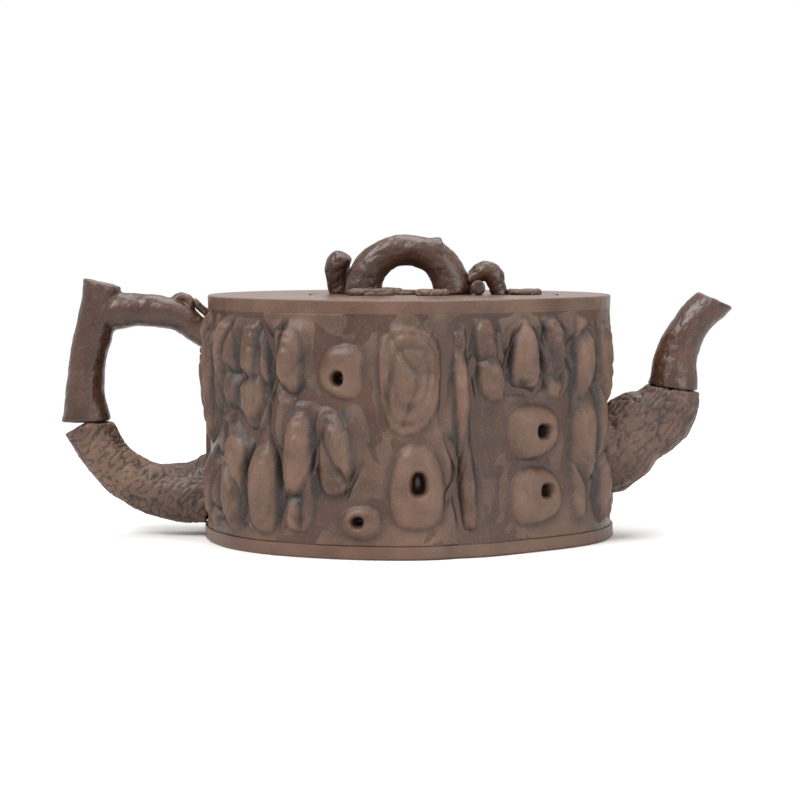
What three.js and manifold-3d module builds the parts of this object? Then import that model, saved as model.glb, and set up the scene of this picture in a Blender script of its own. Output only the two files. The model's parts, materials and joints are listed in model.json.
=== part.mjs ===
// A small unglazed stoneware teapot in the form of a sawn tree stump: a hollow trunk of slab-built clay
// dressed with bark plates and burls, a bent bough for a spout, a looped bough for a handle, and a round
// flush lid with a bridge of root for a knob.
// Millimetres, +Z up. The origin is the centre of the flat base, +X points to the spout, and the side that
// carries the large burls faces -Y.
import * as THREE from "three";
import { mergeVertices } from "three/addons/utils/BufferGeometryUtils.js";
import Module from "manifold-3d";

const wasm = await Module();
wasm.setup();

// Driving dimensions: the trunk
const TRUNK_HALF_LENGTH = 55.25;
const TRUNK_HALF_DEPTH = 46;
const TRUNK_HEIGHT = 66.5;
const WALL = 4;
const BASE_THICKNESS = 3.5;
const BASE_LIP = 0.6;
const BASE_CHAMFER = 0.6;
const TOP_THICKNESS = 3.5;
const RIM_CHAMFER = 0.3;
const ROOT_FLARE = 0.6;
const WAIST = 0.8;

// Driving dimensions: the lid and its seat
const LID_RADIUS = 34;
const LID_OFFSET = 6.5;
const LID_CLEARANCE = 0.4;
const LID_EDGE = 0.4;
const SEAT_LEDGE = 3.25;
const SEAT_LAP = 3.5;
const SEAT_THICKNESS = 3;
const FLANGE_CLEARANCE = 0.5;
const FLANGE_THICKNESS = 2.4;
const FLANGE_DEPTH = 9;
const VENT_RADIUS = 1.1;

// Driving dimensions: the spout, its bore and its strainer
const SPOUT_HEIGHT = 25;
const OPENING_RADIUS = 7.5;
const BORE_ROOT = 5.4;
const BORE_TIP = 3.1;
const STRAINER_WALL = 1.5;
const STRAINER_HOLE = 1.1;
const STRAINER_ROWS = [
  { tilt: 0, holes: 1 },
  { tilt: 32, holes: 6 },
  { tilt: 62, holes: 10 },
];

// Clearance between two pieces of clay that are stuck together with slip
const SEAM = 0.3;
// How far the sawn or pierced cutters run past what they cut
const OVERRUN = 20;

// Facet counts
const TRUNK_SIDES = 96;
const LID_SIDES = 72;
const BRANCH_SIDES = 18;
const PATCH_SIDES = 18;

const clay = (name, color, roughness) =>
  Object.assign(new THREE.MeshStandardMaterial({ color, roughness, metalness: 0 }), { name });
const BARK_CLAY = clay("bark clay", 0x6b4c3c, 0.85);
const SMOOTH_CLAY = clay("smooth clay", 0x6a4636, 0.7);
const SAWN_CLAY = clay("sawn clay", 0x7a594b, 0.6);
const BURL_CLAY = clay("burl clay", 0x75584a, 0.75);

const radians = THREE.MathUtils.degToRad;
const turn = (i, count) => (2 * Math.PI * i) / count;
const range = (count) => Array.from({ length: count }, (_, i) => i);

// Solids

function solidOf(positions, faces) {
  const build = (order) =>
    new wasm.Manifold(
      new wasm.Mesh({
        numProp: 3,
        vertProperties: Float32Array.from(positions),
        triVerts: Uint32Array.from(order),
      }),
    );
  const made = build(faces);
  if (made.volume() > 0) return made;
  const turned = [];
  for (let i = 0; i < faces.length; i += 3) turned.push(faces[i], faces[i + 2], faces[i + 1]);
  return build(turned);
}

// Skins a run of rings that hold the same number of points. A loop run closes on its first ring. An open
// run is capped by a fan at each end, on the apex given or else on the ring's middle.
function skin(rings, { loop = false, firstApex, lastApex } = {}) {
  const count = rings[0].length;
  const points = rings.flat();
  const faces = [];
  const bands = loop ? rings.length : rings.length - 1;
  for (let i = 0; i < bands; i += 1) {
    const near = i * count;
    const far = ((i + 1) % rings.length) * count;
    for (let j = 0; j < count; j += 1) {
      const k = (j + 1) % count;
      faces.push(near + j, near + k, far + k, near + j, far + k, far + j);
    }
  }
  const middle = (ring) =>
    ring.reduce((sum, p) => sum.add(p), new THREE.Vector3()).divideScalar(ring.length);
  if (!loop) {
    const last = (rings.length - 1) * count;
    points.push(firstApex ?? middle(rings[0]), lastApex ?? middle(rings.at(-1)));
    for (let j = 0; j < count; j += 1) {
      const k = (j + 1) % count;
      faces.push(j, points.length - 2, k, last + j, last + k, points.length - 1);
    }
  }
  return solidOf(points.flatMap((p) => p.toArray()), faces);
}

function solidFromGeometry(geometry) {
  const bare = geometry.clone();
  bare.deleteAttribute("normal");
  bare.deleteAttribute("uv");
  const merged = mergeVertices(bare, 1e-4);
  return solidOf(merged.attributes.position.array, merged.index.array);
}

function meshOf(name, solid, material) {
  const { vertProperties, triVerts } = solid.getMesh();
  const geometry = new THREE.BufferGeometry();
  geometry.setAttribute("position", new THREE.BufferAttribute(vertProperties, 3));
  geometry.setIndex(new THREE.BufferAttribute(triVerts, 1));
  const mesh = new THREE.Mesh(geometry.toNonIndexed(), material);
  mesh.geometry.computeVertexNormals();
  mesh.name = name;
  return mesh;
}

// A solid turned about +Z from a closed [radius, height] profile
function revolve(profile, sides) {
  const points = [...profile, profile[0]].map(([r, z]) => new THREE.Vector2(r, z));
  return solidFromGeometry(new THREE.LatheGeometry(points, sides).rotateX(Math.PI / 2));
}

function rod(radius, length, sides) {
  return new THREE.CylinderGeometry(radius, radius, length, sides);
}

// The trunk's surface

// Swellings and hollows of the plan outline: bearing, spread in degrees, and rise beyond the oval
const LOBES = [
  { bearing: -100, spread: 34, rise: 1.6 },
  { bearing: -142, spread: 22, rise: 1.7 },
  { bearing: -44, spread: 26, rise: -4.2 },
  { bearing: -74, spread: 6, rise: -0.9 },
  { bearing: 40, spread: 26, rise: 1.3 },
  { bearing: 92, spread: 14, rise: -1.6 },
  { bearing: 142, spread: 26, rise: 1.2 },
];

function outlineRadius(angle) {
  const oval = 1 / Math.hypot(Math.cos(angle) / TRUNK_HALF_LENGTH, Math.sin(angle) / TRUNK_HALF_DEPTH);
  return LOBES.reduce((radius, { bearing, spread, rise }) => {
    const off = Math.atan2(Math.sin(angle - radians(bearing)), Math.cos(angle - radians(bearing)));
    return radius + rise * Math.exp(-((off / radians(spread)) ** 2));
  }, oval);
}

// How far the trunk stands out at a height: it flares at the root and draws in at the waist
function girth(z) {
  const share = THREE.MathUtils.clamp(z / TRUNK_HEIGHT, 0, 1);
  return ROOT_FLARE * (1 - share) ** 3 - WAIST * Math.sin(Math.PI * share);
}

// The point at a bearing and height, a distance out from the trunk's skin, square to its outline
function trunkPoint(angle, z, out = 0) {
  const step = 1e-3;
  const at = (a) => {
    const r = outlineRadius(a) + girth(z);
    return new THREE.Vector3(r * Math.cos(a), r * Math.sin(a), z);
  };
  const along = at(angle + step).sub(at(angle - step)).normalize();
  const outward = new THREE.Vector3(along.y, -along.x, 0);
  return at(angle).addScaledVector(outward, out);
}

const trunkRing = (z, out = 0) => range(TRUNK_SIDES).map((i) => trunkPoint(turn(i, TRUNK_SIDES), z, out));

// The whole trunk as a solid blank, used to cut back what is stuck on to it
function trunkBlank(out) {
  return skin([trunkRing(-OVERRUN, out), trunkRing(0, out), trunkRing(TRUNK_HEIGHT / 3, out),
    trunkRing((2 * TRUNK_HEIGHT) / 3, out), trunkRing(TRUNK_HEIGHT, out), trunkRing(TRUNK_HEIGHT + OVERRUN, out)]);
}

// Patches: thin pieces of clay laid on the trunk or on the lid

const WALL_LOW = BASE_THICKNESS;
const WALL_HIGH = TRUNK_HEIGHT - TOP_THICKNESS;
const wallHeight = (share) => WALL_LOW + (WALL_HIGH - WALL_LOW) * share;

// A point of a rounded oval, in shares of its half width and half height. squareness 2 is an ellipse.
function ovalPoint(i, squareness, wobble) {
  const a = turn(i, PATCH_SIDES);
  const bulge = 1 - 0.05 * (1 + Math.sin(3 * a + wobble));
  const part = (v) => Math.sign(v) * Math.abs(v) ** (2 / squareness) * bulge;
  return [part(Math.cos(a)), part(Math.sin(a))];
}

// A ring of a wall patch: share of the patch's outline, height above the trunk's skin
function wallPatchRing(patch, share, rise) {
  const { bearing, halfTurn, low, high, lean = 0, squareness = 2.6, eye = [0, 0] } = patch;
  const middle = wallHeight((low + high) / 2);
  const half = (wallHeight(high) - wallHeight(low)) / 2;
  return range(PATCH_SIDES).map((i) => {
    const [across, up] = ovalPoint(i, squareness, bearing);
    const height = share * up + (1 - share) * eye[1];
    const side = share * across + (1 - share) * eye[0];
    return trunkPoint(radians(bearing + halfTurn * side + lean * height), middle + half * height, SEAM + rise);
  });
}

function wallPatchPoint(patch, rise) {
  const ring = wallPatchRing(patch, 0, rise);
  return ring[0];
}

// A bark plate: terraces of thin clay, each one smaller than the one below it
const BARK_LAYER = 0.75;
function barkPlate(patch) {
  const { thickness = BARK_LAYER } = patch;
  const ring = (share, rise) => wallPatchRing(patch, share, rise);
  return skin(
    [ring(0.5, 0), ring(1, 0), ring(1, thickness), ring(0.82, thickness), ring(0.76, thickness + BARK_LAYER),
      ring(0.52, thickness + BARK_LAYER), ring(0.45, thickness + 2 * BARK_LAYER)],
    { firstApex: wallPatchPoint(patch, 0), lastApex: wallPatchPoint(patch, thickness + 2 * BARK_LAYER) },
  );
}

// A burl: a mound that swells to a lip round a rotted-out knot hole
const BURL_EDGE = 0.35;
const KNOT_DEPTH = 2.4;
function burl(patch) {
  const { rise, knot } = patch;
  const ring = (share, height) => wallPatchRing(patch, share, height);
  return skin(
    [ring(1, 0), ring(1, BURL_EDGE), ring(0.82, 0.62 * rise), ring(0.55, 0.95 * rise), ring(knot * 1.35, rise),
      ring(knot, 0.72 * rise), ring(knot, 0)],
    { loop: true },
  );
}

// The blind hole that carries a burl's knot on into the trunk's wall
function knotRecess(patch) {
  const ring = (share, height) => wallPatchRing(patch, share, height);
  return skin([ring(patch.knot, 1), ring(patch.knot, -SEAM - KNOT_DEPTH / 2), ring(patch.knot / 2, -SEAM - KNOT_DEPTH)]);
}

// Boughs: a swept branch through hand-set stations of its centre line

// Each station is [x, y, z, half width in the XZ plane, half width across it].
function bough(stations, { from = 0, to = 1, steps = 12, grow = 0, gnarl = 0.035 } = {}) {
  const line = new THREE.CatmullRomCurve3(stations.map(([x, y, z]) => new THREE.Vector3(x, y, z)));
  const girths = new THREE.CatmullRomCurve3(stations.map(([, , , wide, deep]) => new THREE.Vector3(wide, deep, 0)));
  const rings = range(steps + 1).map((i) => {
    const t = from + ((to - from) * i) / steps;
    const centre = line.getPoint(t);
    const along = line.getTangent(t);
    const wide = new THREE.Vector3(along.z, 0, -along.x).normalize();
    const deep = new THREE.Vector3().crossVectors(along, wide).normalize();
    const size = girths.getPoint(t);
    return range(BRANCH_SIDES).map((j) => {
      const a = turn(j, BRANCH_SIDES);
      const knobble = 1 + gnarl * Math.sin(3 * a + 9 * t) * Math.sin(17 * t + 2);
      return centre
        .clone()
        .addScaledVector(wide, Math.cos(a) * (size.x * knobble + grow))
        .addScaledVector(deep, Math.sin(a) * (size.y * knobble + grow));
    });
  });
  return skin(rings);
}

// A block whose near face lies at a point and that reaches away along a direction
function sawBlock(x, y, z, direction) {
  const size = 4 * OVERRUN;
  const away = direction.clone().normalize();
  const block = new THREE.BoxGeometry(size, size, size);
  block.applyQuaternion(new THREE.Quaternion().setFromUnitVectors(new THREE.Vector3(0, 0, 1), away));
  block.translate(x + (away.x * size) / 2, y + (away.y * size) / 2, z + (away.z * size) / 2);
  return solidFromGeometry(block);
}

// The block that a root is sawn off on, so that it ends a seam above the base slab's lip
const aboveSlab = (x) => sawBlock(x, 0, BASE_THICKNESS + SEAM, new THREE.Vector3(0, 0, -1));

// The hollow trunk

// Pieces of bark: bearing and half turn in degrees, and shares of the wall's height
const BARK = {
  bark_handle_side: { bearing: -169, halfTurn: 7.5, low: 0.4, high: 0.985, eye: [0, 0.1] },
  bark_left_edge_low: { bearing: -160.5, halfTurn: 6, low: 0.03, high: 0.37, eye: [0, 0.2] },
  bark_left_second_high: { bearing: -153, halfTurn: 6.6, low: 0.5, high: 0.97, eye: [0, 0.1] },
  bark_left_second_low: { bearing: -148, halfTurn: 5.6, low: 0.03, high: 0.47, eye: [0, 0.25] },
  bark_left_third_high: { bearing: -139.5, halfTurn: 5.4, low: 0.47, high: 0.96, eye: [0, 0.1] },
  bark_left_third_low: { bearing: -136.2, halfTurn: 5.2, low: 0.03, high: 0.44, eye: [0, 0.25] },
  bark_left_fourth_high: { bearing: -128.4, halfTurn: 4.6, low: 0.6, high: 0.94, eye: [0, 0] },
  bark_left_fourth_low: { bearing: -125, halfTurn: 5, low: 0.03, high: 0.57, eye: [0, 0.3] },
  bark_left_inner: { bearing: -114, halfTurn: 5.4, low: 0.2, high: 0.6, lean: -1.5, eye: [0, 0.2] },
  bark_front_centre: { bearing: -90.5, halfTurn: 10, low: 0.48, high: 0.97, eye: [0.1, 0.1] },
  bark_front_ridge: { bearing: -72.5, halfTurn: 2.8, low: 0.06, high: 0.97, lean: -2, squareness: 4 },
  bark_right_first: { bearing: -63, halfTurn: 5.4, low: 0.6, high: 0.97, lean: -2, eye: [0, 0.1] },
  bark_right_second: { bearing: -50, halfTurn: 5.8, low: 0.65, high: 0.97, eye: [0, 0.1] },
  bark_right_third: { bearing: -37, halfTurn: 5.4, low: 0.6, high: 0.97, lean: -1.5, eye: [0, 0.1] },
  bark_right_edge: { bearing: -25.6, halfTurn: 4.7, low: 0.03, high: 0.97, squareness: 3.4, eye: [0, 0.3] },
  bark_spout_side: { bearing: -15.2, halfTurn: 3.6, low: 0.03, high: 0.97, squareness: 3.6, eye: [0, 0.2] },
  bark_back_spout_side: { bearing: 19, halfTurn: 6.5, low: 0.03, high: 0.96, squareness: 3, eye: [0, 0.2] },
  bark_back_right_high: { bearing: 37, halfTurn: 9, low: 0.5, high: 0.96, eye: [0, 0.1] },
  bark_back_right_low: { bearing: 37, halfTurn: 9, low: 0.03, high: 0.46, eye: [0, 0.2] },
  bark_back_centre: { bearing: 59, halfTurn: 9.5, low: 0.3, high: 0.96, eye: [0, 0.2] },
  bark_back_left_high: { bearing: 107, halfTurn: 10.5, low: 0.45, high: 0.96, eye: [0, 0.1] },
  bark_back_left_low: { bearing: 130, halfTurn: 10, low: 0.03, high: 0.5, eye: [0, 0.2] },
  bark_back_handle_side: { bearing: 151, halfTurn: 9, low: 0.3, high: 0.96, eye: [0, 0.2] },
};
const FLAP = { bearing: 171.5, halfTurn: 6, low: 0.55, high: 0.92, thickness: 2.2, squareness: 2.2 };

// Burls: knot is the hole's share of the mound, and eye is where it lies in it
const BURLS = {
  burl_upper_left: { bearing: -111.5, halfTurn: 7.4, low: 0.63, high: 0.87, rise: 2, knot: 0.24, eye: [-0.2, -0.3] },
  burl_lower_left: { bearing: -105.5, halfTurn: 6, low: 0.03, high: 0.17, rise: 1.4, knot: 0.3, eye: [-0.2, 0.1] },
  burl_centre: { bearing: -88, halfTurn: 9, low: 0.06, high: 0.44, rise: 2.4, knot: 0.26, eye: [0.05, 0.15] },
  burl_right_high: { bearing: -46, halfTurn: 11, low: 0.35, high: 0.6, rise: 2.4, knot: 0.24, eye: [0.45, 0] },
  burl_right_low: { bearing: -45, halfTurn: 10.5, low: 0.06, high: 0.32, rise: 2.2, knot: 0.22, eye: [0.5, 0.2] },
  burl_back_low: { bearing: 84, halfTurn: 12, low: 0.06, high: 0.42, rise: 2.4, knot: 0.26, eye: [-0.2, 0.1] },
  burl_back_high: { bearing: 84, halfTurn: 9, low: 0.55, high: 0.85, rise: 2, knot: 0.24, eye: [0.2, -0.1] },
};

function baseSlab() {
  return skin([trunkRing(0, BASE_LIP - BASE_CHAMFER), trunkRing(BASE_CHAMFER, BASE_LIP), trunkRing(BASE_THICKNESS, BASE_LIP)]);
}

const WALL_LEVELS = [0, 0.14, 0.36, 0.58, 0.8, 1];
function trunkWall() {
  const outer = WALL_LEVELS.map((share) => trunkRing(wallHeight(share)));
  const inner = WALL_LEVELS.toReversed().map((share) => trunkRing(wallHeight(share), -WALL));
  const opening = rod(OPENING_RADIUS, OVERRUN, LID_SIDES / 3).rotateZ(Math.PI / 2);
  opening.translate(TRUNK_HALF_LENGTH, 0, SPOUT_HEIGHT);
  const hollow = skin([...outer, ...inner], { loop: true }).subtract(solidFromGeometry(opening));
  return Object.values(BURLS).reduce((wall, patch) => wall.subtract(knotRecess(patch)), hollow);
}

function circleRing(radius, z) {
  return range(TRUNK_SIDES).map((i) => {
    const a = turn(i, TRUNK_SIDES);
    return new THREE.Vector3(LID_OFFSET + radius * Math.cos(a), radius * Math.sin(a), z);
  });
}

function topSlab() {
  const mouth = LID_RADIUS + LID_CLEARANCE;
  return skin(
    [trunkRing(WALL_HIGH), trunkRing(TRUNK_HEIGHT - RIM_CHAMFER), trunkRing(TRUNK_HEIGHT, -RIM_CHAMFER),
      circleRing(mouth, TRUNK_HEIGHT), circleRing(mouth, WALL_HIGH)],
    { loop: true },
  );
}

const SEAT_BORE = LID_RADIUS - SEAT_LEDGE;
function seatRing() {
  const outer = LID_RADIUS + SEAT_LAP;
  const ring = revolve([[SEAT_BORE, 0], [SEAT_BORE, -SEAT_THICKNESS], [outer, -SEAT_THICKNESS], [outer, 0]], LID_SIDES);
  return ring.intersect(trunkBlank(-WALL - SEAM).translate([-LID_OFFSET, 0, -WALL_HIGH]));
}

// A thimble of clay pierced with small holes, its open end in the wall behind the spout
const STRAINER_RADIUS = OPENING_RADIUS - SEAM;
const STRAINER_SKIRT = 2;
function strainer() {
  const arc = (radius, count) => range(count + 1).map((i) => {
    const a = (Math.PI / 2) * (i / count);
    return [radius * Math.cos(a), radius * Math.sin(a)];
  });
  const outer = arc(STRAINER_RADIUS, 6);
  const inner = arc(STRAINER_RADIUS - STRAINER_WALL, 6).toReversed();
  const shell = revolve(
    [[STRAINER_RADIUS, -STRAINER_SKIRT], ...outer, ...inner, [STRAINER_RADIUS - STRAINER_WALL, -STRAINER_SKIRT]],
    LID_SIDES / 3,
  );
  return STRAINER_ROWS.reduce((dome, { tilt, holes }) => range(holes).reduce((pierced, i) => {
    const pin = rod(STRAINER_HOLE, 2 * STRAINER_RADIUS, 6).rotateX(Math.PI / 2);
    pin.translate(0, 0, 1.5 * STRAINER_RADIUS).rotateY(radians(tilt)).rotateZ(turn(i, holes));
    return pierced.subtract(solidFromGeometry(pin));
  }, dome), shell);
}

// The spout: stations from the trunk's wall to the pouring end, set out from the trunk's end and the root's height
const TRUNK_END = trunkPoint(0, SPOUT_HEIGHT).x;
const TRUNK_BACK = trunkPoint(Math.PI, SPOUT_HEIGHT).x;
const SPOUT_RISE = TRUNK_HEIGHT - SPOUT_HEIGHT;
const SPOUT_LINE = [
  [-7, 0, -1.5, 13, 11.5], [1.5, 0, -0.6, 12, 10.5], [8, 0, 4.3, 9.8, 9.2], [13.5, 0, 7.4, 9.1, 8.6],
  [16.9, 0, 12.2, 8, 7.8], [18, 0, 17.5, 6.7, 6.8], [18.4, 0, 22.5, 5.9, 5.9], [20, 0, 28, 5.5, 5.5],
  [22.6, 0, 33, 5.1, 5.1], [26, 0, 36.8, 4.9, 4.9], [31, 0, 41.2, 4.7, 4.7],
].map(([x, y, z, wide, deep]) => [TRUNK_END + x, y, SPOUT_HEIGHT + (z * SPOUT_RISE) / 41.5, wide, deep]);
const SPOUT_SPLIT = 0.47;
const SPOUT_SLEEVE = 0.5;

function boreLine() {
  const last = SPOUT_LINE.length - 1;
  return SPOUT_LINE.map(([x, y, z], i) => {
    const radius = THREE.MathUtils.lerp(BORE_ROOT, BORE_TIP, i / last);
    return [x, y, z, radius, radius];
  });
}

// The pouring end is sawn off level enough to stop a drip, a little short of the last station
const MOUTH_SHORT = 1.8;
const MOUTH_NORMAL = new THREE.Vector3(0.4, 0, 0.92);
function spout() {
  const bore = bough(boreLine(), { steps: 22, gnarl: 0 });
  const trunk = trunkBlank(SEAM);
  const entry = solidFromGeometry(
    rod(BORE_ROOT, OVERRUN, BRANCH_SIDES).rotateZ(Math.PI / 2).translate(TRUNK_END, 0, SPOUT_HEIGHT),
  );
  const [x, y, z] = SPOUT_LINE.at(-1);
  const mouth = sawBlock(x - MOUTH_SHORT * 0.7, y, z - MOUTH_SHORT * 0.7, MOUTH_NORMAL);
  const gap = 0.004;
  const root = bough(SPOUT_LINE, { to: SPOUT_SPLIT - gap, steps: 10, grow: SPOUT_SLEEVE, gnarl: 0.05 });
  const branch = bough(SPOUT_LINE, { from: SPOUT_SPLIT, steps: 12, gnarl: 0.02 });
  return {
    spout_root: root.subtract(trunk).subtract(aboveSlab(TRUNK_END)).subtract(bore).subtract(entry),
    spout_branch: branch.subtract(bore).subtract(mouth),
  };
}

// The handle: a limb with a sawn upper end, an arm that joins it to the trunk, and the bark-clad root
// below, set out from the trunk's back and its height
const fromBack = (stations) =>
  stations.map(([x, y, z, wide, deep]) => [TRUNK_BACK + x, y, (z * TRUNK_HEIGHT) / 66.5, wide, deep]);
const LIMB_LINE = fromBack([
  [-29.6, 0, 70.6, 5.2, 5], [-30.2, 0, 64.9, 5.2, 5], [-31.4, 0, 59, 5.2, 5], [-33.3, 0, 51, 5.1, 5],
  [-34.4, 0, 44, 5.1, 5], [-34.7, 0, 37.4, 5.8, 5.3], [-34.4, 0, 31.6, 6.9, 5.8],
]);
const ARM_LINE = fromBack([
  [-28.5, 0, 62, 5.4, 4.6], [-22, 0, 62.2, 4.8, 4.5], [-16.5, 0, 62.1, 4.5, 4.4], [-11.5, 0, 61.6, 4.3, 4.2],
  [-7, 0, 59.4, 3.9, 4], [-2.5, 0, 56.2, 3.6, 4], [3, 0, 52.8, 3.8, 4.4],
]);
const HANDLE_ROOT_LINE = fromBack([
  [-34.2, 0, 31, 7.1, 6.2], [-31.7, 0, 25.8, 6.5, 6.2], [-27.4, 0, 20.1, 6.2, 6.3], [-21.9, 0, 15.6, 6.7, 6.8],
  [-15.6, 0, 12.9, 7.2, 7.3], [-7.4, 0, 11.6, 8.3, 8.2], [-1.4, 0, 11.9, 10, 9], [4, 0, 12.3, 11, 9.5],
]);
const TWIG_LINE = fromBack([[-4.9, -0.5, 64.9, 0.9, 1.1], [-2.8, -0.3, 63, 1, 1.2], [2, 0, 58.6, 1.3, 1.5]]);
const SAWN_NORMAL = new THREE.Vector3(0.23, 0, 0.97);

// The hollow end of a broken twig on top of the arm: a ring of clay round a hole
const KNOT_RING = { x: -7.6, z: 64, radius: 2.3, thick: 1.25, tilt: 25 };
function knotRing(grow = 0) {
  const { x, z, radius, thick, tilt } = KNOT_RING;
  const torus = new THREE.TorusGeometry(radius, thick + grow, 8, BRANCH_SIDES);
  torus.rotateX(Math.PI / 2).scale(1, 1.5, 0.85).rotateY(radians(tilt));
  torus.translate(TRUNK_BACK + x, 0, (z * TRUNK_HEIGHT) / 66.5);
  return solidFromGeometry(torus);
}

function handle() {
  const trunk = trunkBlank(SEAM);
  const [x, y, z] = LIMB_LINE[0];
  const sawn = sawBlock(x, y, z - 0.9, SAWN_NORMAL);
  const limb = bough(LIMB_LINE, { steps: 12 }).subtract(sawn);
  const arm = bough(ARM_LINE, { steps: 10 });
  const armGrown = bough(ARM_LINE, { steps: 10, grow: SEAM });
  const top = LIMB_LINE.at(-1);
  const root = bough(HANDLE_ROOT_LINE, { steps: 14, gnarl: 0.06 });
  const trim = sawBlock(top[0], 0, top[2] - SEAM, new THREE.Vector3(0, 0, 1));
  return {
    handle_branch: limb.add(arm).add(knotRing()).subtract(trunk),
    handle_root: root.subtract(trim).subtract(trunk).subtract(aboveSlab(TRUNK_BACK)),
    handle_twig: bough(TWIG_LINE, { steps: 4 }).subtract(trunk).subtract(armGrown).subtract(knotRing(SEAM)),
  };
}

// The lid, about its own centre, with its top face at zero

function lidDisc() {
  const disc = revolve(
    [[0, -TOP_THICKNESS], [LID_RADIUS, -TOP_THICKNESS], [LID_RADIUS, -LID_EDGE], [LID_RADIUS - LID_EDGE, 0], [0, 0]],
    LID_SIDES,
  );
  const vent = rod(VENT_RADIUS, OVERRUN, 12).rotateX(Math.PI / 2);
  return disc.subtract(solidFromGeometry(vent.translate(-LID_RADIUS / 12, LID_RADIUS / 8, 0)));
}

function lidFlange() {
  const outer = SEAT_BORE - FLANGE_CLEARANCE;
  const inner = outer - FLANGE_THICKNESS;
  const low = -TOP_THICKNESS - FLANGE_DEPTH;
  return revolve([[inner, -TOP_THICKNESS], [inner, low], [outer - 0.5, low], [outer, low + 1], [outer, -TOP_THICKNESS]], LID_SIDES);
}

// The knob: a root that bridges the lid, with a stub behind its left foot and a twig beyond its right one
const BRIDGE_LINE = [
  [-19.6, 0, -3, 5.4, 4.9], [-19, 0, 3.2, 5.1, 4.6], [-16.6, 0, 8.2, 4.8, 4.4], [-12.5, 0, 11.3, 4.4, 4.3],
  [-7.8, 0, 12.2, 4.3, 4.2], [-3.2, 0, 11.6, 4.5, 4.3], [0.8, 0, 9.6, 4.7, 4.5], [3.6, 0, 6, 5, 4.7],
  [5.2, 0, 1.5, 5.4, 5], [5.6, 0, -3, 5.6, 5.2],
];
const SNAG_LINE = [[-3.4, 0, 11, 4.2, 4.2], [0.6, 0, 11.6, 4.3, 4.2], [4.2, 0, 11, 4.4, 4]];
const STUB_LINE = [[-25.4, 6, -3, 2.8, 3], [-26.2, 6, 2.2, 3.2, 3.4], [-26.6, 5.4, 7.2, 3.6, 3.6], [-24.8, 4.2, 10.8, 2.6, 2.8]];
const TWIG_ROOT_LINE = [
  [7, -1, 3.6, 2.2, 2.4], [10.4, -1, 4.4, 2.1, 2.2], [13.6, -1, 6.4, 2.8, 2.8], [16, -1, 5.6, 2.9, 2.8],
  [17.4, -1, 2, 2.4, 2.6], [19, -1, -3, 2.6, 2.8],
];
const TWIG_END_LINE = [[12, -2.2, 2.1, 2, 1.9], [12, -7.4, 2.2, 2.2, 2.1]];

function knob() {
  const floor = sawBlock(0, 0, 0, new THREE.Vector3(0, 0, -1));
  const bridge = bough(BRIDGE_LINE, { steps: 20 });
  const bridgeGrown = bough(BRIDGE_LINE, { steps: 20, grow: SEAM });
  const snagEnd = sawBlock(3, 0, 12, new THREE.Vector3(0.97, 0, 0.26));
  const snag = bough(SNAG_LINE, { steps: 4 }).subtract(snagEnd);
  const twig = bough(TWIG_ROOT_LINE, { steps: 12 });
  const twigGrown = bough(TWIG_ROOT_LINE, { steps: 12, grow: SEAM });
  return {
    knob_bridge: bridge.add(snag).subtract(floor),
    knob_stub: bough(STUB_LINE, { steps: 8 }).subtract(bridgeGrown).subtract(floor),
    knob_twig: twig.subtract(bridgeGrown).subtract(floor),
    knob_twig_end: twigEnd().subtract(bridgeGrown).subtract(twigGrown).subtract(floor),
  };
}

function twigEnd() {
  const [[x, y, z, radius], [, far]] = TWIG_END_LINE;
  const stub = rod(radius, Math.abs(far - y), 12);
  return solidFromGeometry(stub.translate(x, (y + far) / 2, z));
}

// Scraps of bark pressed on to the lid round the knob's feet: centre and half sizes as shares of the
// lid's radius, and thickness
const LID_BARK = {
  lid_bark_left_front: { x: -0.515, y: -0.24, halfX: 0.195, halfY: 0.09, thick: 1.8 },
  lid_bark_left_back: { x: -0.4, y: 0.27, halfX: 0.17, halfY: 0.1, thick: 1.5 },
  lid_bark_middle: { x: -0.23, y: -0.02, halfX: 0.1, halfY: 0.14, thick: 1.1 },
  lid_bark_centre_front: { x: -0.02, y: -0.28, halfX: 0.14, halfY: 0.09, thick: 1.6 },
  lid_bark_right_back: { x: 0.24, y: 0.27, halfX: 0.16, halfY: 0.09, thick: 1.4 },
  lid_bark_right: { x: 0.715, y: -0.03, halfX: 0.16, halfY: 0.12, thick: 1.5 },
};

function lidScrap({ x, y, halfX, halfY, thick }) {
  const ring = (share, z) => range(PATCH_SIDES).map((i) => {
    const [across, up] = ovalPoint(i, 2.6, 40 * x);
    return new THREE.Vector3(
      LID_RADIUS * (x + halfX * across * share),
      LID_RADIUS * (y + halfY * up * share),
      z,
    );
  });
  const scrap = skin([ring(1, 0), ring(1, 0.6 * thick), ring(0.85, thick)]);
  const feet = [BRIDGE_LINE, STUB_LINE, TWIG_ROOT_LINE].map((line) => bough(line, { steps: 16, grow: SEAM }));
  return feet.reduce((cut, foot) => cut.subtract(foot), scrap);
}

// The scene graph

const place = (group, solids, material) => {
  for (const [name, solid] of Object.entries(solids)) group.add(meshOf(name, solid, material));
  return group;
};
const mapValues = (table, make) => Object.fromEntries(Object.entries(table).map(([name, row]) => [name, make(row)]));

// What the bark is trimmed back from: the boughs where they leave the trunk, grown by a seam
const boughRoots = bough(SPOUT_LINE, { to: SPOUT_SPLIT, steps: 10, grow: SPOUT_SLEEVE + SEAM, gnarl: 0.05 })
  .add(bough(HANDLE_ROOT_LINE, { steps: 14, grow: SEAM, gnarl: 0.06 }))
  .add(bough(ARM_LINE, { steps: 10, grow: SEAM }));

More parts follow.
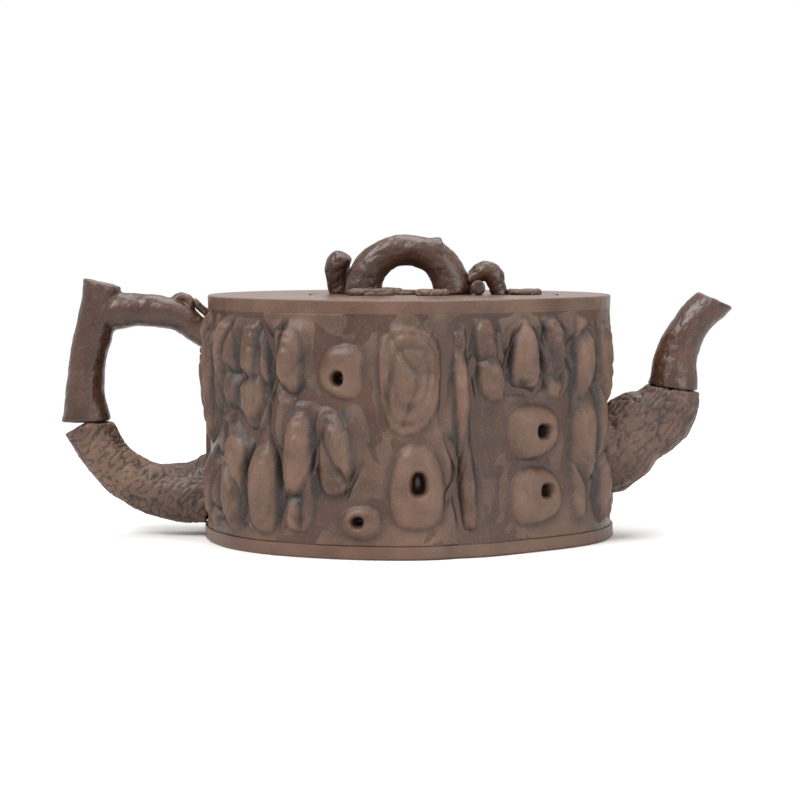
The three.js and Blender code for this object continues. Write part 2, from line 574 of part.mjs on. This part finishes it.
const pot = new THREE.Group();
place(pot, { base_slab: baseSlab(), top_slab: topSlab() }, SAWN_CLAY);
place(pot, { trunk_wall: trunkWall() }, SMOOTH_CLAY);
const fittedBark = (patch) => barkPlate(patch).subtract(boughRoots);
place(pot, mapValues(BARK, fittedBark), BARK_CLAY);
place(pot, { handle_bark_flap: fittedBark(FLAP) }, BARK_CLAY);
place(pot, mapValues(BURLS, burl), BURL_CLAY);
const { spout_root, spout_branch } = spout();
place(pot, { spout_root }, BARK_CLAY);
place(pot, { spout_branch }, SMOOTH_CLAY);
const { handle_branch, handle_root, handle_twig } = handle();
place(pot, { handle_branch, handle_twig }, SMOOTH_CLAY);
place(pot, { handle_root }, BARK_CLAY);

const seat = place(new THREE.Group(), { lid_seat_ring: seatRing() }, SAWN_CLAY);
seat.position.set(LID_OFFSET, 0, WALL_HIGH);
pot.add(seat);

const sieve = place(new THREE.Group(), { spout_strainer: strainer() }, SMOOTH_CLAY);
sieve.position.set(TRUNK_END - WALL, 0, SPOUT_HEIGHT);
sieve.rotation.y = -Math.PI / 2;
pot.add(sieve);

const lid = new THREE.Group();
lid.position.set(LID_OFFSET, 0, TRUNK_HEIGHT);
place(lid, { lid_disc: lidDisc(), lid_flange: lidFlange() }, SAWN_CLAY);
place(lid, knob(), SMOOTH_CLAY);
place(lid, mapValues(LID_BARK, lidScrap), BARK_CLAY);

const teapot = new THREE.Group();
teapot.add(pot, lid);

export default teapot;
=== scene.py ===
"""A tree-trunk teapot of unglazed stoneware: carved bark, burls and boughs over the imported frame."""

import json
import math

import bpy
import numpy as np
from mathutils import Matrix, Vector, noise
from mathutils.bvhtree import BVHTree


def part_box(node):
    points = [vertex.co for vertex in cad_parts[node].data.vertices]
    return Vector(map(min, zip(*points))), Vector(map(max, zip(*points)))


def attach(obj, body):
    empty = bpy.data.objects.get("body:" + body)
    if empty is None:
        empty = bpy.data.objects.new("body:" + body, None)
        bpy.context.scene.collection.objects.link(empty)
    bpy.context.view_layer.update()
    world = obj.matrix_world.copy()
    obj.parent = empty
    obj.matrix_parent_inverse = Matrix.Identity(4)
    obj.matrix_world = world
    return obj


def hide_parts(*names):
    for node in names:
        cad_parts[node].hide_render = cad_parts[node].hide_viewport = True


# %% [markdown]
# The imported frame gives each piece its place. Everything below is in metres, and MM turns millimetres
# into them.
MM = 0.001
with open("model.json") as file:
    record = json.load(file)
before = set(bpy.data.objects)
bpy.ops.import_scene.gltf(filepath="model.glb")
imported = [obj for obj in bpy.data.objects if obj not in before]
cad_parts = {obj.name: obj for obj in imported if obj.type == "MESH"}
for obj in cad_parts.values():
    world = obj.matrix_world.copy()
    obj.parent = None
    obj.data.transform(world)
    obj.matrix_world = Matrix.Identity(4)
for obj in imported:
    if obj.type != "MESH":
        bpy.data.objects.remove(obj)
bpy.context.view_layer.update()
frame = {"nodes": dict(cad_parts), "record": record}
nodes = frame["nodes"]
# The noise's offsets are random, so they are seeded once, and every run carves the same bark
noise.seed_set(7)


def smoothstep(low, high, value):
    share = np.clip((value - low) / (high - low), 0.0, 1.0)
    return share * share * (3 - 2 * share)


# %% [markdown]
# ## Clay
# Colours are written as sRGB hex values and turned to linear once, here.
def linear(hex_colour):
    parts = [int(hex_colour[i : i + 2], 16) / 255 for i in (1, 3, 5)]
    return [p / 12.92 if p <= 0.04045 else ((p + 0.055) / 1.055) ** 2.4 for p in parts] + [1.0]


# %% [markdown]
# One helper adds a node. A setting is the node's own property. A link is named after its socket, with _
# for a space, or is _ and the socket's number where several sockets share a name.
def add_node(tree, kind, settings=None, **links):
    node = tree.nodes.new(kind)
    for key, value in (settings or {}).items():
        setattr(node, key, value)
    for key, value in links.items():
        socket = node.inputs[int(key[1:])] if key[1:].isdigit() else node.inputs[key.replace("_", " ")]
        if isinstance(value, bpy.types.NodeSocket):
            tree.links.new(value, socket)
        else:
            socket.default_value = value
    return node


def mix_colours(tree, share, first, second):
    mix = add_node(tree, "ShaderNodeMix", {"data_type": "RGBA"}, _0=share, _6=first, _7=second)
    return mix.outputs[2]


def remap(tree, value, from_low, from_high, to_low=0.0, to_high=1.0):
    ramp = add_node(tree, "ShaderNodeMapRange", Value=value, From_Min=from_low, From_Max=from_high,
                    To_Min=to_low, To_Max=to_high)
    return ramp.outputs[0]


# %% [markdown]
# Purple-brown stoneware clay, fired without a glaze: a satin surface with golden sand grains in it, paler
# where it has been rubbed, and darkened in the cuts by painted shade. The relief attribute is negative in a
# cut and near zero elsewhere. A sand grain is really finer, and is drawn at a size that shows.
SAND_SPACING = 0.8 * MM
SAND_COLOUR = "#c9a06a"
SAND_SHARE = 0.32
CLOUD = 14 * MM
GRAIN = 0.7 * MM
GRAIN_DEPTH = 0.15 * MM
FIRED_CLAY_IOR = 1.5


def clay(name, base, worn, painted_shade, roughness):
    material = bpy.data.materials.new(name)
    material.use_nodes = True
    tree = material.node_tree
    tree.nodes.clear()
    out = tree.nodes.new("ShaderNodeOutputMaterial")
    place = add_node(tree, "ShaderNodeTexCoord").outputs["Object"]
    relief = add_node(tree, "ShaderNodeAttribute", {"attribute_name": "relief"}).outputs["Fac"]
    cloud = add_node(tree, "ShaderNodeTexNoise", Vector=place, Scale=1 / CLOUD, Detail=5.0, Roughness=0.6)
    cloud = cloud.outputs["Fac"]
    sand = add_node(tree, "ShaderNodeTexVoronoi", Vector=place, Scale=1 / SAND_SPACING)
    grain = add_node(tree, "ShaderNodeTexNoise", Vector=place, Scale=1 / GRAIN, Detail=3.0)
    colour = mix_colours(tree, remap(tree, cloud, 0.35, 0.68), linear(base), linear(worn))
    # Painted shade: the lower the relief, the closer the colour comes to the dark shade colour.
    colour = mix_colours(tree, remap(tree, relief, -1.0, 0.1, 1.0, 0.0), colour, linear(painted_shade))
    speck = remap(tree, sand.outputs["Distance"], 0.0, 0.2, SAND_SHARE, 0.0)
    colour = mix_colours(tree, speck, colour, linear(SAND_COLOUR))
    bump = add_node(tree, "ShaderNodeBump", Strength=0.35, Distance=GRAIN_DEPTH, Height=grain.outputs["Fac"])
    shine = remap(tree, cloud, 0.3, 0.7, roughness - 0.06, roughness + 0.08)
    skin = add_node(tree, "ShaderNodeBsdfPrincipled", Base_Color=colour, Roughness=shine,
                    Normal=bump.outputs[0], IOR=FIRED_CLAY_IOR)
    tree.links.new(skin.outputs[0], out.inputs["Surface"])
    return material


# The third colour of each clay is the painted shade of its cuts.
CLAYS = {
    "bark_clay": clay("fired clay, carved bark", "#42291c", "#664c3d", "#170b06", 0.5),
    "smooth_clay": clay("fired clay, burnished", "#331b10", "#4c3022", "#170b06", 0.36),
    "sawn_clay": clay("fired clay, sawn face", "#4b3022", "#64493a", "#20110a", 0.4),
    "burl_clay": clay("fired clay, burl", "#4a3021", "#6e5344", "#140804", 0.45),
}

# %% [markdown]
# Each plain solid takes the clay of its slot. The slabs, the trunk's wall, the lid and the inside stay
# as they are packed.
SLOT_OF = {part["node"]: part["material_slot"] for part in frame["record"]["subparts"]}
BODY_OF = {n: body for body, names in frame["record"]["behaviour"]["bodies"].items() for n in names}
for node, slot_name in SLOT_OF.items():
    nodes[node].data.materials.clear()
    nodes[node].data.materials.append(CLAYS[slot_name])


# %% [markdown]
# ## Making pieces
# A piece is a mesh with its relief stored for the clay's painted shade, smooth shaded, riding on its body
# in place of the plain solids that it stands for.
def finish_piece(mesh, name, body, slot_name, relief, replaced):
    mesh.shade_smooth()
    attribute = mesh.attributes.new("relief", "FLOAT", "POINT")
    attribute.data.foreach_set("value", np.asarray(relief, dtype=np.float32))
    mesh.materials.clear()
    mesh.materials.append(CLAYS[slot_name])
    piece = bpy.data.objects.new(name, mesh)
    bpy.context.scene.collection.objects.link(piece)
    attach(piece, body)
    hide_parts(*replaced)


# %% [markdown]
# ## Bark
# Bark breaks into tall plates, each worn into terraces that step up to its middle. Cells of a Voronoi
# pattern, stretched upright and pushed about by a slow noise, give the plates, and the distance to a
# cell's centre gives its terraces. A fine noise, stretched upright too, gives the fibres.
PLATE_WIDE = 10 * MM
PLATE_TALL = 24 * MM
WANDER_WIDE = 9 * MM
WANDER_TALL = 14 * MM
WANDER_AROUND = 0.28
WANDER_UP = 0.16
TERRACE = 0.35 * MM
TERRACE_STEPS = 5
RISER_STEEPNESS = 3.2
CRACK_SHARE = 0.22
FURROW = 0.9 * MM
FIBRE_WIDE = 0.9 * MM
FIBRE_TALL = 7 * MM
FIBRE_RISE = 0.1 * MM


def bark_height(around, up):
    """The bark's height in metres at a distance round the trunk and up it, and its relief, which sets the
    clay's painted shade.
    """
    wander = noise.noise_vector(Vector((around / WANDER_WIDE, up / WANDER_TALL, 3.0)))
    x = around / PLATE_WIDE + WANDER_AROUND * wander.x
    y = up / PLATE_TALL + WANDER_UP * wander.y
    distances, _ = noise.voronoi(Vector((x, y, 0.0)))
    crack = min(1.0, max(0.0, (distances[1] - distances[0]) / CRACK_SHARE))
    rings = (1.0 - distances[0]) * TERRACE_STEPS
    riser = min(1.0, (rings % 1.0) * RISER_STEEPNESS)
    step = math.floor(rings) + riser
    fibre = noise.fractal(Vector((around / FIBRE_WIDE, up / FIBRE_TALL, 5.0)), 0.7, 2.0, 3)
    height = TERRACE * step * crack - FURROW * (1 - crack) ** 2 + FIBRE_RISE * fibre
    return height, -1.0 * (1 - crack) - 0.45 * (1 - riser) + 0.2 * fibre


# %% [markdown]
# Where the photograph shows bark and where it shows bare wood. The back is a guess. Each row is a
# bearing and a half turn in degrees, the heights that it runs between as shares of the trunk, and how
# rough it is.
BARK_ZONES = [
    (-152, 31, 0.05, 0.96, 1.0),
    (-114, 8, 0.2, 0.6, 0.8),
    (-90, 11, 0.5, 0.96, 0.45),
    (-73, 6, 0.05, 0.96, 0.9),
    (-50, 22, 0.62, 0.96, 1.0),
    (-18, 12, 0.05, 0.96, 1.0),
    (30, 28, 0.05, 0.96, 1.0),
    (110, 20, 0.45, 0.96, 1.0),
    (150, 28, 0.05, 0.96, 1.0),
]
ZONE_FADE = 2.5


def bark_share(bearing, share):
    """How rough the trunk is at a bearing and a share of its height, from 0 to 1."""
    best = 0.0
    for middle, half, low, high, rough in BARK_ZONES:
        off = abs((bearing - middle + 180) % 360 - 180)
        side = 1 - smoothstep(half - ZONE_FADE, half + ZONE_FADE, off)
        above = smoothstep(low - 0.03, low + 0.04, share)
        below = 1 - smoothstep(high - 0.04, high + 0.03, share)
        best = max(best, float(side * above * below) * rough)
    return best


# %% [markdown]
# ## The trunk
# Rays cast at the plain trunk from all round find its skin, with the bark plates and burls on it. The
# hits make a grid of radii, one row for each height and one column for each bearing. A ray that goes
# through the spout's opening comes back from further in than the trunk's wall lies, so it is filled in
# from its neighbours.
TRUNK_NODES = ["trunk_wall"] + [n for n in nodes if n.startswith(("bark_", "burl_"))]
LOW, HIGH = (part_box("trunk_wall")[i][2] for i in (0, 1))
COLUMNS, ROWS = 470, 176
CAST_FROM = 90 * MM
LEAST_RADIUS = 38 * MM
END_GAP = 0.02 * MM


def trunk_tree():
    points, faces = [], []
    for name in TRUNK_NODES:
        start = len(points)
        mesh = nodes[name].data
        points += [tuple(v.co) for v in mesh.vertices]
        faces += [tuple(start + v for v in p.vertices) for p in mesh.polygons]
    return BVHTree.FromPolygons(points, faces)


def cast_radii(bearings, heights, tree):
    radii = np.zeros((ROWS, COLUMNS))
    for row, z in enumerate(heights):
        for column, bearing in enumerate(bearings):
            out = Vector((math.cos(math.radians(bearing)), math.sin(math.radians(bearing)), 0))
            hit = tree.ray_cast(out * CAST_FROM + Vector((0, 0, z)), -out)[0]
            radii[row, column] = math.hypot(hit.x, hit.y) if hit else np.nan
    radii[radii < LEAST_RADIUS] = np.nan
    known = np.isfinite(radii)
    filled = np.interp(np.arange(radii.size), np.flatnonzero(known), radii[known])
    return np.where(known, radii, filled.reshape(radii.shape))


def soften(field, times):
    """Blurs a grid by averaging each point with its four neighbours."""
    for _ in range(times):
        padded = np.pad(field, 1, mode="edge")
        field = (padded[:-2, 1:-1] + padded[2:, 1:-1] + padded[1:-1, :-2] + padded[1:-1, 2:] + 2 * field) / 6
    return field


# %% [markdown]
# The radii are softened a little, and the bark is raised from them. Bare wood swells and dips slowly
# instead. What stands out of the trunk's smoothed outline, such as a burl, counts as relief too, and what
# sinks below it is darkened with painted shade.
SKIN_BLUR = 5
OUTLINE_BLUR = 60
MEAN_RADIUS = 50 * MM
SWELL_SIZE = 12 * MM
SWELL_RISE = 0.45 * MM
MOUND_RISE = 0.6 * MM


def carve(radii, bearings, heights):
    """Raises the bark and the swellings on a grid of radii, in place, and returns the relief of the bark."""
    relief = np.zeros((ROWS, COLUMNS))
    for row, z in enumerate(heights):
        share = (z - LOW) / (HIGH - LOW)
        for column, bearing in enumerate(bearings):
            rough = bark_share(bearing, share)
            around = math.radians(bearing) * MEAN_RADIUS
            swell = noise.fractal(Vector((around / SWELL_SIZE, z / SWELL_SIZE, 1.0)), 0.8, 2.0, 3)
            radii[row, column] += SWELL_RISE * swell * (1 - 0.5 * rough)
            if rough > 0:
                height, depth = bark_height(around, z)
                radii[row, column] += rough * height
                relief[row, column] = rough * depth
    return relief


# %% [markdown]
# The grid's rim is turned in to a core below the wall's surface, so that the skin has a thick edge.
CORE_DEPTH = 1.9 * MM


def grid_points(radii, bearings, heights):
    levels = np.repeat(heights[:, None], COLUMNS, axis=1)
    angles = np.radians(bearings)
    return np.stack([radii * np.cos(angles), radii * np.sin(angles), levels], axis=-1).reshape(-1, 3)


def grid_rim():
    """The grid's outer points in order: along the foot, up, back along the rim, and down."""
    foot = list(range(COLUMNS))
    up = [row * COLUMNS + COLUMNS - 1 for row in range(1, ROWS)]
    back = [(ROWS - 1) * COLUMNS + column for column in range(COLUMNS - 2, -1, -1)]
    down = [row * COLUMNS for row in range(ROWS - 2, 0, -1)]
    return foot + up + back + down


def skin_faces(rim):
    faces = []
    for row in range(ROWS - 1):
        for column in range(COLUMNS - 1):
            at = row * COLUMNS + column
            faces.append((at, at + 1, at + COLUMNS + 1, at + COLUMNS))
    turned_in = {v: ROWS * COLUMNS + i for i, v in enumerate(rim)}
    for a, b in zip(rim, rim[1:] + rim[:1]):
        faces.append((b, a, turned_in[a], turned_in[b]))
    return faces


def trunk_half(name, first, last, tree):
    """The trunk's skin between two bearings, as a mesh and the relief of its points."""
    bearings = np.linspace(first, last, COLUMNS)
    heights = np.linspace(LOW + END_GAP, HIGH - END_GAP, ROWS)
    radii = soften(cast_radii(bearings, heights, tree), SKIN_BLUR)
    outline = soften(radii, OUTLINE_BLUR)
    mound = np.clip((radii - outline) / MOUND_RISE, -1.2, 0.3)
    relief = carve(radii, bearings, heights) + mound
    rim = grid_rim()
    core = grid_points(outline - CORE_DEPTH, bearings, heights)[rim]
    mesh = bpy.data.meshes.new(name)
    points = np.vstack([grid_points(radii, bearings, heights), core])
    mesh.from_pydata(points.tolist(), [], skin_faces(rim))
    return mesh, np.concatenate([relief.reshape(-1), np.zeros(len(rim))])


# %% [markdown]
# One skin covers the front, from the handle round to the spout, and one the back. Each stands for the
# bark and the burls on its side. The trunk's wall stays under them.
def on_front(node):
    low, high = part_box(node)
    return low[1] + high[1] < 0


trunk = trunk_tree()
for name, first, last, front in (("trunk_front", -180, 0, True), ("trunk_back", 0, 180, False)):
    mesh, relief = trunk_half(name, first, last, trunk)
    side = [node for node in TRUNK_NODES[1:] if on_front(node) == front]
    finish_piece(mesh, name, "pot", "bark_clay", relief, side)


# %% [markdown]
# ## Boughs
# The spout, the handle, the knob and the scraps on the lid are remeshed finely, softened, and given the
# knobbly, fibrous skin of a bough. Each row is the size of the mesh's cells in millimetres and how barky
# the piece is.
BOUGHS = {
    "spout_root": (0.5, 0.7),
    "spout_branch": (0.42, 0.25),
    "handle_branch": (0.45, 0.22),
    "handle_root": (0.5, 0.8),
    "handle_twig": (0.3, 0.3),
    "handle_bark_flap": (0.4, 0.8),
    "knob_bridge": (0.42, 0.25),
    "knob_stub": (0.35, 0.4),
    "knob_twig": (0.35, 0.4),
    "knob_twig_end": (0.3, 0.2),
    **{n: (0.3, 0.7) for n in nodes if n.startswith("lid_bark")},
}
SMOOTHING = 6


def remeshed(node, voxel):
    source = bpy.data.objects.new("source", nodes[node].data.copy())
    bpy.context.scene.collection.objects.link(source)
    remesh = source.modifiers.new("remesh", "REMESH")
    remesh.mode = "VOXEL"
    remesh.voxel_size = voxel * MM
    smooth = source.modifiers.new("smooth", "SMOOTH")
    smooth.iterations = SMOOTHING
    mesh = bpy.data.meshes.new_from_object(source.evaluated_get(bpy.context.evaluated_depsgraph_get()))
    bpy.data.objects.remove(source)
    return mesh


# %% [markdown]
# The fibres are the creases of a noise that is long in two directions, so they run along the bough.
# These sizes are in millimetres.
KNOBBLE_SIZE = 7
KNOBBLE_RISE = 0.3
FIBRE_WANDER = 5
FIBRE_SIZES = (1.6, 6, 2.2)
CREASE_SHARE = 0.16
CREASE_DEPTH = 0.5
CREASE_FLOOR = 0.35


def bough_skin(place, rough):
    """How far a point of a bough is pushed out, in millimetres, and its relief, which sets the clay's
    painted shade.
    """
    x, y, z = place
    knobble = noise.fractal(place / KNOBBLE_SIZE, 0.8, 2.0, 3)
    wander = noise.noise(place / FIBRE_WANDER)
    across, along, slant = FIBRE_SIZES
    fibre = abs(noise.noise(Vector((y / across + wander, (x + z) / along, (x - z) / slant))))
    crease = float(smoothstep(0.0, CREASE_SHARE, fibre))
    push = KNOBBLE_RISE * knobble + rough * (CREASE_DEPTH * crease - CREASE_FLOOR)
    return push, rough * 1.1 * (crease - 1.0) + 0.3 * knobble


def bough_piece(node, voxel, rough):
    mesh = remeshed(node, voxel)
    points, relief = [], []
    for vertex in mesh.vertices:
        push, depth = bough_skin(vertex.co / MM, rough)
        points.append(vertex.co + vertex.normal * push * MM)
        relief.append(depth)
    mesh.vertices.foreach_set("co", np.array(points, dtype=np.float32).ravel())
    mesh.update()
    finish_piece(mesh, node + "_carved", BODY_OF[node], SLOT_OF[node], relief, [node])


for node, (voxel, rough) in BOUGHS.items():
    bough_piece(node, voxel, rough)


# %% [markdown]
# ## The stage
# A pale sweep of paper carries the pot. Its far part glows white with painted light, though no lamp is
# behind it, so that it fades into the white background.
FLOOR_HALF = 6.0
FADE_FROM, FADE_TO = 0.16, 0.5


def paper_sweep():
    paper = bpy.data.materials.new("white paper sweep")
    paper.use_nodes = True
    tree = paper.node_tree
    matt = tree.nodes["Principled BSDF"]
    matt.inputs["Base Color"].default_value = linear("#f2f1ef")
    matt.inputs["Roughness"].default_value = 0.9
    place = add_node(tree, "ShaderNodeTexCoord").outputs["Object"]
    away = add_node(tree, "ShaderNodeVectorMath", {"operation": "LENGTH"}, _0=place).outputs["Value"]
    # Painted light: past FADE_FROM the paper turns into a white glow, though no lamp lights it.
    glow = add_node(tree, "ShaderNodeEmission", Color=(1, 1, 1, 1), Strength=1.0)
    faded = add_node(tree, "ShaderNodeMixShader", _0=remap(tree, away, FADE_FROM, FADE_TO),
                     _1=matt.outputs[0], _2=glow.outputs[0])
    tree.links.new(faded.outputs[0], tree.nodes["Material Output"].inputs["Surface"])
    return paper


floor_mesh = bpy.data.meshes.new("floor")
corners = [(x * FLOOR_HALF, y * FLOOR_HALF, 0) for x, y in ((-1, -1), (1, -1), (1, 1), (-1, 1))]
floor_mesh.from_pydata(corners, [], [(0, 1, 2, 3)])
floor_mesh.materials.append(paper_sweep())
floor = bpy.data.objects.new("floor", floor_mesh)
bpy.context.scene.collection.objects.link(floor)


# %% [markdown]
# Three large soft lamps: the key from the upper left, a weaker fill from the right and one from above.
# Each row is a place, a size in metres and a power in watts.
AIM = (0, 0, 0.04)
LAMPS = {
    "key": ((-0.45, -0.5, 0.75), 0.5, 9),
    "fill": ((0.6, -0.6, 0.4), 0.6, 4),
    "top": ((0.1, 0.2, 0.9), 0.7, 7),
}
for name, (place, size, power) in LAMPS.items():
    light = bpy.data.lights.new(name, "AREA")
    light.size = size
    light.energy = power
    lamp = bpy.data.objects.new(name, light)
    lamp.location = place
    lamp.rotation_euler = (Vector(AIM) - Vector(place)).to_track_quat("-Z", "Y").to_euler()
    bpy.context.scene.collection.objects.link(lamp)

# %% [markdown]
# The surroundings light the pot softly, and are white to the camera and in what the clay mirrors.
SKY_STRENGTH = 0.45
world = bpy.data.worlds.new("studio")
bpy.context.scene.world = world
world.use_nodes = True
sky = world.node_tree
sky.nodes.clear()
rays = add_node(sky, "ShaderNodeLightPath").outputs
seen = add_node(sky, "ShaderNodeMath", {"operation": "MAXIMUM"}, _0=rays["Is Camera Ray"],
                _1=rays["Is Glossy Ray"])
seen = add_node(sky, "ShaderNodeMath", {"operation": "MAXIMUM"}, _0=seen.outputs[0],
                _1=rays["Is Transmission Ray"])
soft = add_node(sky, "ShaderNodeBackground", Color=(1, 1, 1, 1), Strength=SKY_STRENGTH)
white = add_node(sky, "ShaderNodeBackground", Color=(1, 1, 1, 1), Strength=1.0)
both = add_node(sky, "ShaderNodeMixShader", _0=seen.outputs[0], _1=soft.outputs[0], _2=white.outputs[0])
out = add_node(sky, "ShaderNodeOutputWorld")
sky.links.new(both.outputs[0], out.inputs["Surface"])

# %% [markdown]
# The camera looks from the height of the knob through a long lens, as the photograph's does. Its
# height, its distance and its pitch were worked out from how the rim and the base curve there.
CAMERA_PLACE = (-2.75 * MM, -608 * MM, 86.3 * MM)
CAMERA_PITCH = 4.6
lens = bpy.data.cameras.new("camera")
lens.lens = 99.5
lens.sensor_width = 36
camera = bpy.data.objects.new("camera", lens)
camera.location = CAMERA_PLACE
camera.rotation_euler = (math.radians(90 - CAMERA_PITCH), 0, 0)
bpy.context.scene.collection.objects.link(camera)
bpy.context.scene.camera = camera
bpy.context.scene.view_settings.view_transform = "Standard"
